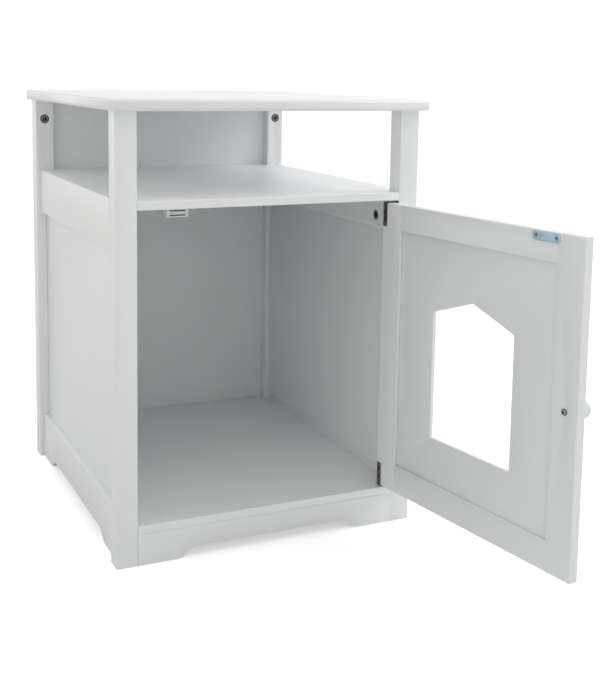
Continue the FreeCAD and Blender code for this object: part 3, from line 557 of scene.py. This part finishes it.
def countersunk_screw(length):
    """Countersunk wood screw with a cross recess, its head's face at height 0."""
    head, shank, point = 2.8 * MM, 1.5 * MM, 3 * MM
    screw = add_piece("screw", lathe([
        (0, 0), (0, head - 0.4 * MM), (0, head - 0.05 * MM), (-0.05 * MM, head), (-1.3 * MM, shank),
        (-length + point, shank), (-length, 0),
    ], 32))
    cross_cut(screw, across=4.2 * MM, width=1.45 * MM, depth=1.3 * MM, top=0)

    # Painted shade: the cross recess and the rim of the head take the darker tint.
    def shade(radius, height):
        in_cross = height < -0.15 * MM and radius < 2.2 * MM
        return 0.9 if in_cross or radius > head - 0.25 * MM else 0

    mark_recess(screw.data, shade)
    smooth_by_angle(screw.data)
    return screw


arm_t = 0.9 * MM
arm_screw_rises = (9 * MM, 20 * MM)
arm_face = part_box("front_right_post")[0].x - arm_t
floor_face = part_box("floor_board")[1].z
arm_heights = [floor_face + rise for rise in arm_screw_rises]
arm_heights += [shelf_under - rise for rise in arm_screw_rises]
arm_seats = [((arm_face, pin_at.y, z), (-1, 0, 0)) for z in arm_heights]
arm_screw = countersunk_screw(12 * MM)
set_out("hinge_arm_screw_heads", arm_seats, arm_screw, arm_bronze, "cabinet", "hinge_arm_screws")

leaf_screw_rises = (13 * MM, 25.5 * MM)
leaf_middle = 5.75 * MM         # middle of the leaf, in from the door's hinge edge
door_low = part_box("door_hinge_stile")[0].z
door_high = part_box("door_hinge_stile")[1].z
leaf_heights = [door_low + rise for rise in leaf_screw_rises]
leaf_heights += [door_high - rise for rise in leaf_screw_rises]
leaf_seats = [(on_door(leaf_middle, door_t, z), door_inward) for z in leaf_heights]
leaf_screw = countersunk_screw(10.5 * MM)
set_out("leaf_screw_heads", leaf_seats, leaf_screw, leaf_bronze, "door", "door_leaf_screws")

# --- magnetic catch -----------------------------------------------------------------------
# A white moulded housing screwed under the shelf by two ears. It holds a ferrite block
# between two steel pole plates, whose front edges stand proud of it.


def moulded(name, tint, roughness):
    material = bpy.data.materials.new(name)
    material.use_nodes = True
    nodes, links = material.node_tree.nodes, material.node_tree.links
    surface = nodes["Principled BSDF"]
    where = nodes.new("ShaderNodeTexCoord")
    grain = nodes.new("ShaderNodeTexNoise")
    grain.inputs["Scale"].default_value = 1500
    tones = nodes.new("ShaderNodeValToRGB")
    tones.color_ramp.elements[0].color = (*[c * 0.96 for c in tint], 1)
    tones.color_ramp.elements[1].color = (*tint, 1)
    spread = nodes.new("ShaderNodeMapRange")
    spread.inputs["To Min"].default_value = roughness * 0.85
    spread.inputs["To Max"].default_value = roughness * 1.15
    bump = nodes.new("ShaderNodeBump")
    bump.inputs["Strength"].default_value = 0.15
    bump.inputs["Distance"].default_value = 0.03 * MM
    links.new(where.outputs["Object"], grain.inputs["Vector"])
    links.new(grain.outputs["Fac"], tones.inputs["Fac"])
    links.new(grain.outputs["Fac"], spread.inputs["Value"])
    links.new(grain.outputs["Fac"], bump.inputs["Height"])
    links.new(tones.outputs["Color"], surface.inputs["Base Color"])
    links.new(spread.outputs["Result"], surface.inputs["Roughness"])
    links.new(bump.outputs["Normal"], surface.inputs["Normal"])
    return material


housing_plastic = moulded("housing_plastic", (0.76, 0.77, 0.755), 0.35)
housing_edge, pole_edge, magnet_edge = 0.18 * MM, 0.12 * MM, 0.2 * MM
eased_copy("catch_housing", "catch_housing_moulded", housing_edge, housing_plastic, "cabinet")
# The pole plates' near-black tint is partly their dark steel and partly painted shade of the deep slots
# they stand in.
pole_steel = metal(
    "pole_steel", (0.035, 0.035, 0.036), 0.6, mottle=0.2, brushed=(0.1, 1, 1), metallic=0.4)
eased_copy("catch_pole_plates", "pole_plates_sheared", pole_edge, pole_steel, "cabinet")
ferrite = metal("ferrite_block", (0.03, 0.03, 0.032), 0.7, mottle=0.25, metallic=0.0)
eased_copy("catch_magnet", "magnet_pressed", magnet_edge, ferrite, "cabinet")


pan_head_h = 1.8 * MM


def pan_screw():
    """Pan-head screw of the catch, its head's top at height 0."""
    head, shank = 2.5 * MM, 1.5 * MM
    screw = add_piece("screw", lathe([
        (0, 0), (-0.05 * MM, 1.2 * MM), (-0.35 * MM, 2.0 * MM), (-0.9 * MM, 2.45 * MM),
        (-pan_head_h, head), (-pan_head_h, shank), (-8.8 * MM, shank), (-11.8 * MM, 0),
    ], 32))
    cross_cut(screw, across=2.5 * MM, width=0.7 * MM, depth=0.9 * MM, top=0)

    # Painted shade: the cross recess takes the darker tint.
    def shade(radius, height):
        return radius < 1.1 * MM and -1.2 * MM < height < -0.1 * MM

    mark_recess(screw.data, shade)
    smooth_by_angle(screw.data)
    return screw


ear_reach = 20.55 * MM          # screws, to each side of the catch's middle
ear_t = 2.2 * MM
screws_from_front = 6 * MM
catch_low, catch_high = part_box("catch_housing")
catch_mid = (catch_low.x + catch_high.x) / 2
screw_y = catch_low.y + screws_from_front
screw_z = catch_high.z - ear_t - pan_head_h
catch_seats = [((catch_mid + side * ear_reach, screw_y, screw_z), (0, 0, -1)) for side in (-1, 1)]
set_out("catch_screw_heads", catch_seats, pan_screw(), plated_steel, "cabinet", "catch_screws")

# --- door ---------------------------------------------------------------------------------
# A frame of two stiles and two rails, dowelled and glued, round a thin panel that has the
# house-shaped opening sawn through it. The stiles' outer edges are rounded.

door_edge = 0.35 * MM
door_panel_edge = 0.25 * MM
door_white = (0.868, 0.894, 0.905)
door_panel_white = (0.868, 0.896, 0.908)
stile_lacquer = lacquered("stile_lacquer", door_white, grain=0.25)
cross_lacquer = lacquered("door_rail_lacquer", door_white, lay_along_y, grain=0.25)
door_panel_lacquer = lacquered(
    "door_panel_lacquer", door_panel_white, grain=0.0, peel=0.4, mottle=0.03)
for stile in ("door_hinge_stile", "door_free_stile"):
    eased_copy(stile, stile + "_lacquered", door_edge, stile_lacquer, "door")
for rail in ("door_top_rail", "door_bottom_rail"):
    eased_copy(rail, rail + "_lacquered", door_edge, cross_lacquer, "door")
eased_copy("door_panel", "door_panel_lacquered", door_panel_edge, door_panel_lacquer, "door")

# --- strike plate -------------------------------------------------------------------------
# A flat steel plate with a bluish zinc finish on the door's inner face, held by two screws,
# which the catch pulls shut.

strike_edge = 0.15 * MM
strike_t = 1 * MM
strike_middle = 328 * MM        # in from the door's hinge edge
strike_screw_reach = 17 * MM    # screws, to each side of the plate's middle
# The zinc's darker tint is painted shade in the strike screws' crosses and rims.
blue_zinc = metal(
    "blue_zinc", (0.5, 0.66, 0.73), 0.5, mottle=0.04, scale=90, painted_shade_tint=(0.02, 0.03, 0.035))
eased_copy("strike_plate", "strike_plate_stamped", strike_edge, blue_zinc, "door")
strike_low, strike_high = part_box("strike_plate")
strike_z = (strike_low.z + strike_high.z) / 2
strike_seats = [
    (on_door(strike_middle + side * strike_screw_reach, door_t + strike_t, strike_z), door_inward)
    for side in (-1, 1)
]
strike_screw = countersunk_screw(12 * MM)
set_out("strike_screw_heads", strike_seats, strike_screw, blue_zinc, "door", "strike_screws")

# --- knob ---------------------------------------------------------------------------------
# Turned wooden knob with a round foot, a waisted neck and a domed head, lacquered white, and
# the machine screw with a wide low head that holds it through the stile.

knob_len = 24 * MM
knob_from_hinge = 370 * MM      # in from the door's hinge edge
knob_drop = 2.5 * MM            # below the middle of the door's height
knob_screw_head_h = 2.4 * MM


def knob_profile():
    """Smooth outline of the knob, as (height, radius) pairs."""
    rough = [
        (0, 7.7), (0.4, 8.0), (2.1, 8.0), (2.7, 7.5), (3.4, 6.6), (6.0, 6.1), (8.6, 6.4), (10.4, 7.7),
        (12.0, 10.0), (13.4, 11.9), (15.2, 12.9), (17.2, 13.0), (19.2, 12.4), (21.2, 10.6), (22.7, 7.9),
        (23.6, 4.8), (24.0, 1.6),
    ]
    return [(0, 0)] + [(h * MM, r * MM) for h, r in rough] + [(knob_len, 0)]


knob = add_piece("knob_turned", lathe(knob_profile(), 72))
knob.data.shade_smooth()
knob_z = (door_low + door_high) / 2 - knob_drop
knob_seat = Matrix.Translation(on_door(knob_from_hinge, 0, knob_z))
knob_turn = door_outward.to_track_quat("Z", "Y").to_matrix().to_4x4()
knob.data.transform(knob_seat @ knob_turn)
round_off = knob.modifiers.new("rounded", "SUBSURF")
round_off.levels = round_off.render_levels = 1
plain_mesh(knob)
knob_white = (0.875, 0.898, 0.908)
knob_lacquer = lacquered("knob_lacquer", knob_white, grain=0.0, peel=0.15, satin=0.25)
knob.data.materials.append(knob_lacquer)
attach(knob, "door")
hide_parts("knob")

knob_screw = add_piece("screw", lathe([
    (0, 0), (-0.05 * MM, 1.6 * MM), (-0.45 * MM, 3.0 * MM), (-1.2 * MM, 4.0 * MM),
    (-2.1 * MM, 4.45 * MM), (-knob_screw_head_h, 4.5 * MM), (-knob_screw_head_h, 2.0 * MM),
    (-26.6 * MM, 2.0 * MM), (-27.4 * MM, 1.2 * MM), (-27.4 * MM, 0),
], 40))
cross_cut(knob_screw, across=5.0 * MM, width=1.4 * MM, depth=1.4 * MM, top=0)


# Painted shade: the cross recess and the rim of the head take the darker tint.
def knob_screw_shade(radius, height):
    in_cross = height < -0.2 * MM and radius < 2.2 * MM
    return 0.9 if in_cross or radius > 4.2 * MM else 0


mark_recess(knob_screw.data, knob_screw_shade)
smooth_by_angle(knob_screw.data)
screw_seat = [(on_door(knob_from_hinge, door_t + knob_screw_head_h, knob_z), door_inward)]
# The nickel's darker tint is painted shade in the knob screw's cross and rim.
screw_nickel = metal(
    "screw_nickel", (0.35, 0.33, 0.27), 0.35, mottle=0.1, painted_shade_tint=(0.015, 0.014, 0.012))
set_out("knob_screw_driven", screw_seat, knob_screw, screw_nickel, "door", "knob_screw")

# --- room ---------------------------------------------------------------------------------
# A plain white studio: a pale floor that runs out to white, an even white surround, a broad
# soft lamp high on the right, and two weaker ones overhead in front and low behind.

image_w, image_h = 600, 700
sensor_w = 36
camera_at = Vector((-0.40328, -1.40481, 0.67606))
yaw, pitch, roll = 0.4348, -0.1279, 0.0153
focal_px = 1101.986
principal_px = (293.861, 213.147)
forward = Vector((
    math.sin(yaw) * math.cos(pitch), math.cos(yaw) * math.cos(pitch), math.sin(pitch)))
level_right = Vector((math.cos(yaw), -math.sin(yaw), 0))
level_up = level_right.cross(forward)
right = math.cos(roll) * level_right + math.sin(roll) * level_up
up = -math.sin(roll) * level_right + math.cos(roll) * level_up
camera_data = bpy.data.cameras.new("camera")
camera_data.sensor_fit = "HORIZONTAL"
camera_data.sensor_width = sensor_w
camera_data.lens = sensor_w * focal_px / image_w
camera_data.shift_x = (image_w / 2 - principal_px[0]) / image_w
camera_data.shift_y = (principal_px[1] - image_h / 2) / image_w
camera = bpy.data.objects.new("camera", camera_data)
bpy.context.scene.collection.objects.link(camera)
camera.matrix_world = Matrix((
    (right.x, up.x, -forward.x, camera_at.x),
    (right.y, up.y, -forward.y, camera_at.y),
    (right.z, up.z, -forward.z, camera_at.z),
    (0, 0, 0, 1),
))
bpy.context.scene.camera = camera

floor_reach = 30
floor_drop = 0.5 * MM           # keeps the floor clear of the posts' feet
floor_white = 0.86
floor_shape = bmesh.new()
bmesh.ops.create_circle(floor_shape, cap_ends=True, segments=96, radius=floor_reach)
floor_mesh = bpy.data.meshes.new("floor")
floor_shape.to_mesh(floor_mesh)
floor_shape.free()
floor = add_piece("studio_floor", floor_mesh)
floor.location = (0.2, 0.2, -floor_drop)
floor_material = bpy.data.materials.new("studio_floor")
floor_material.use_nodes = True
floor_nodes, floor_links = floor_material.node_tree.nodes, floor_material.node_tree.links
floor_surface = floor_nodes["Principled BSDF"]
floor_surface.inputs["Base Color"].default_value = (floor_white, floor_white, floor_white, 1)
floor_surface.inputs["Roughness"].default_value = 0.9
floor_surface.inputs["Specular IOR Level"].default_value = 0.1
seen = floor_nodes.new("ShaderNodeLightPath")
lift = floor_nodes.new("ShaderNodeMath")
lift.operation = "MULTIPLY"
lift.inputs[1].default_value = 0.5
floor_surface.inputs["Emission Color"].default_value = (1, 1, 1, 1)
floor_links.new(seen.outputs["Is Camera Ray"], lift.inputs[0])
floor_links.new(lift.outputs[0], floor_surface.inputs["Emission Strength"])
floor.data.materials.append(floor_material)

world = bpy.data.worlds.new("studio")
bpy.context.scene.world = world
world.use_nodes = True
world_nodes, world_links = world.node_tree.nodes, world.node_tree.links
background = world_nodes["Background"]
rays = world_nodes.new("ShaderNodeLightPath")
shown = world_nodes.new("ShaderNodeMath")
shown.operation = "MAXIMUM"
daylight = world_nodes.new("ShaderNodeMix")
daylight.data_type = "RGBA"
daylight.inputs["A"].default_value = (0.665, 0.658, 0.638, 1)
daylight.inputs["B"].default_value = (1, 1, 1, 1)
world_links.new(rays.outputs["Is Camera Ray"], shown.inputs[0])
world_links.new(rays.outputs["Is Glossy Ray"], shown.inputs[1])
world_links.new(shown.outputs[0], daylight.inputs["Factor"])
world_links.new(daylight.outputs["Result"], background.inputs["Color"])
background.inputs["Strength"].default_value = 1.0


lamp_size = 1.6
lamps_aim = Vector((0.2, 0.2, 0.3))


def soft_lamp(name, place, power, tint):
    """Square soft lamp aimed at the middle of the cabinet, with its power in watts."""
    data = bpy.data.lights.new(name, "AREA")
    data.shape = "SQUARE"
    data.size = lamp_size
    data.energy = power
    data.color = tint
    lamp = add_piece(name, data)
    turn = (lamps_aim - Vector(place)).to_track_quat("-Z", "Y").to_matrix().to_4x4()
    lamp.matrix_world = Matrix.Translation(place) @ turn


soft_lamp("high_lamp", (0.2, -1.6, 3.0), 6, (1, 0.99, 0.97))
soft_lamp("right_lamp", (2.6, -0.2, 2.2), 33, (0.985, 1, 1))
soft_lamp("rear_lamp", (-1.1, 2.4, 1.0), 7, (1, 0.99, 0.965))

bpy.context.scene.view_settings.view_transform = "Standard"
